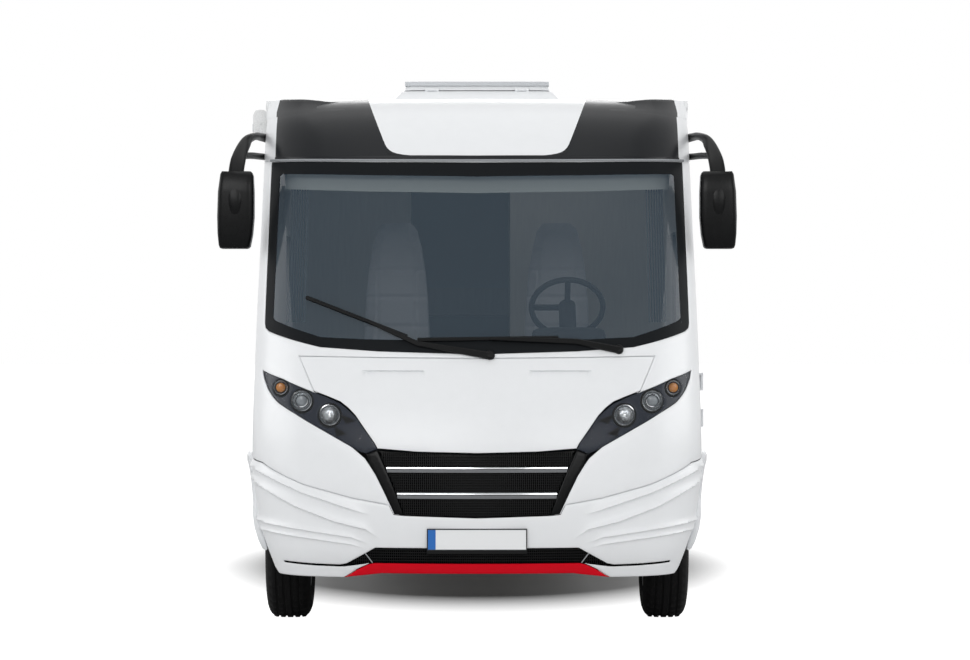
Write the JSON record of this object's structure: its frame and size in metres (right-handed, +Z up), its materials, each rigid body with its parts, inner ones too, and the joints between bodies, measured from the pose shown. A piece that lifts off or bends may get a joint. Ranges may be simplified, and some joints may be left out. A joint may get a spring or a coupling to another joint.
{
  "type": "motorhome",
  "caption": "Integrated motorhome with a bowed windscreen, raked nose, hinged doors, roof hatch, steered front wheels and a walk-through living space.",
  "frame": {"origin": "centre of the bounding box at floor level", "axes": "+Y towards the rear, +X to the driver's side (left), +Z up"},
  "size_m": [2.724, 6.9898, 2.9049],
  "materials": {
    "white_gelcoat": "gloss",
    "anthracite_gelcoat": "gloss",
    "wall_sheet": "satin",
    "red_trim": "gloss",
    "black_abs": "satin",
    "chrome_trim": "polished",
    "lamp_dark": "gloss",
    "lamp_clear": "polished",
    "screen_glass": "polished",
    "window_acrylic": "gloss",
    "red_lens": "gloss",
    "awning_case": "satin",
    "floor_ply": "matt",
    "steel_black": "satin",
    "rim_steel": "satin",
    "tyre_rubber": "matt",
    "engine_iron": "rough",
    "exhaust_steel": "satin",
    "tank_plastic": "matt",
    "seat_fabric": "woven",
    "cabinet_wood": "satin"
  },
  "bodies": {
    "coach": {"front_mask": "white_gelcoat", "front_cap": "white_gelcoat", "cap_panels": "anthracite_gelcoat", "windscreen": "screen_glass", "bumper": "white_gelcoat", "front_lip": "red_trim", "grilles": "black_abs", "grille_bars": "chrome_trim", "headlamp_housings": "lamp_dark", "headlamps": "lamp_clear", "cab_side_left": "white_gelcoat", "cab_side_right": "white_gelcoat", "side_wall_left": "wall_sheet", "side_wall_right": "wall_sheet", "side_windows": "window_acrylic", "roof": "wall_sheet", "rear_wall": "wall_sheet", "rear_bumper": "white_gelcoat", "tail_lamps": "red_lens", "floor": "floor_ply", "cab_floor": "steel_black", "front_wheel_housings": "black_abs", "skirts": "wall_sheet", "arch_flares": "black_abs", "chassis_rails": "steel_black", "cross_members": "steel_black", "front_subframe": "steel_black", "rear_axle": "steel_black", "engine": "engine_iron", "radiator": "awning_case", "exhaust": "exhaust_steel", "tanks": "tank_plastic", "hatch_frame": "white_gelcoat", "awning": "awning_case", "mirrors": "black_abs", "wipers": "black_abs", "dashboard": "black_abs", "steering_wheel": "black_abs", "cab_seats": "seat_fabric", "furniture": "cabinet_wood"},
    "driver_door_body": {"driver_door": "white_gelcoat", "driver_door_glass": "screen_glass"},
    "entrance_door_body": {"entrance_door": "wall_sheet"},
    "garage_door_left_body": {"garage_door_left": "wall_sheet"},
    "garage_door_right_body": {"garage_door_right": "wall_sheet"},
    "bonnet_body": {"bonnet": "white_gelcoat"},
    "hatch_lid_body": {"hatch_lid": "white_gelcoat"},
    "knuckle_left_body": {"knuckle_left": "steel_black"},
    "knuckle_right_body": {"knuckle_right": "steel_black"},
    "wheel_front_left": {"tyre_front_left": "tyre_rubber", "rim_front_left": "rim_steel"},
    "wheel_front_right": {"tyre_front_right": "tyre_rubber", "rim_front_right": "rim_steel"},
    "wheel_rear_left": {"tyre_rear_left": "tyre_rubber", "rim_rear_left": "rim_steel"},
    "wheel_rear_right": {"tyre_rear_right": "tyre_rubber", "rim_rear_right": "rim_steel"}
  },
  "joints": [
    {"name": "driver_door_hinge", "type": "hinge", "parent": "coach", "child": "driver_door_body", "pos_m": [1.18, -2.649, 1.155], "axis": [0, 0, -1], "range_deg": [0, 70]},
    {"name": "entrance_door_hinge", "type": "hinge", "parent": "coach", "child": "entrance_door_body", "pos_m": [-1.18, -1.349, 1.65], "axis": [0, 0, 1], "range_deg": [0, 95]},
    {"name": "garage_door_left_hinge", "type": "hinge", "parent": "coach", "child": "garage_door_left_body", "pos_m": [1.18, 1.951, 1.17], "axis": [0, 0, -1], "range_deg": [0, 95]},
    {"name": "garage_door_right_hinge", "type": "hinge", "parent": "coach", "child": "garage_door_right_body", "pos_m": [-1.18, 1.951, 1.17], "axis": [0, 0, 1], "range_deg": [0, 95]},
    {"name": "bonnet_hinge", "type": "hinge", "parent": "coach", "child": "bonnet_body", "pos_m": [0, -3.454, 0.901], "axis": [1, 0, 0], "range_deg": [0, 65]},
    {"name": "hatch_hinge", "type": "hinge", "parent": "coach", "child": "hatch_lid_body", "pos_m": [0, -1.626, 2.858], "axis": [1, 0, 0], "range_deg": [0, 45]},
    {"name": "steer_left", "type": "hinge", "parent": "coach", "child": "knuckle_left_body", "pos_m": [0.825, -2.495, 0.37], "axis": [0, 0, 1], "range_deg": [-33, 33]},
    {"name": "steer_right", "type": "hinge", "parent": "coach", "child": "knuckle_right_body", "pos_m": [-0.825, -2.495, 0.37], "axis": [0, 0, 1], "range_deg": [-33, 33]},
    {"name": "spin_front_left", "type": "hinge", "parent": "knuckle_left_body", "child": "wheel_front_left", "pos_m": [0.985, -2.495, 0.37], "axis": [1, 0, 0], "continuous": true},
    {"name": "spin_front_right", "type": "hinge", "parent": "knuckle_right_body", "child": "wheel_front_right", "pos_m": [-0.985, -2.495, 0.37], "axis": [1, 0, 0], "continuous": true},
    {"name": "spin_rear_left", "type": "hinge", "parent": "coach", "child": "wheel_rear_left", "pos_m": [0.985, 1.305, 0.37], "axis": [1, 0, 0], "continuous": true},
    {"name": "spin_rear_right", "type": "hinge", "parent": "coach", "child": "wheel_rear_right", "pos_m": [-0.985, 1.305, 0.37], "axis": [1, 0, 0], "continuous": true}
  ],
  "couplings": [
    {"joint": "steer_right", "follows": "steer_left", "ratio": 1}
  ]
}
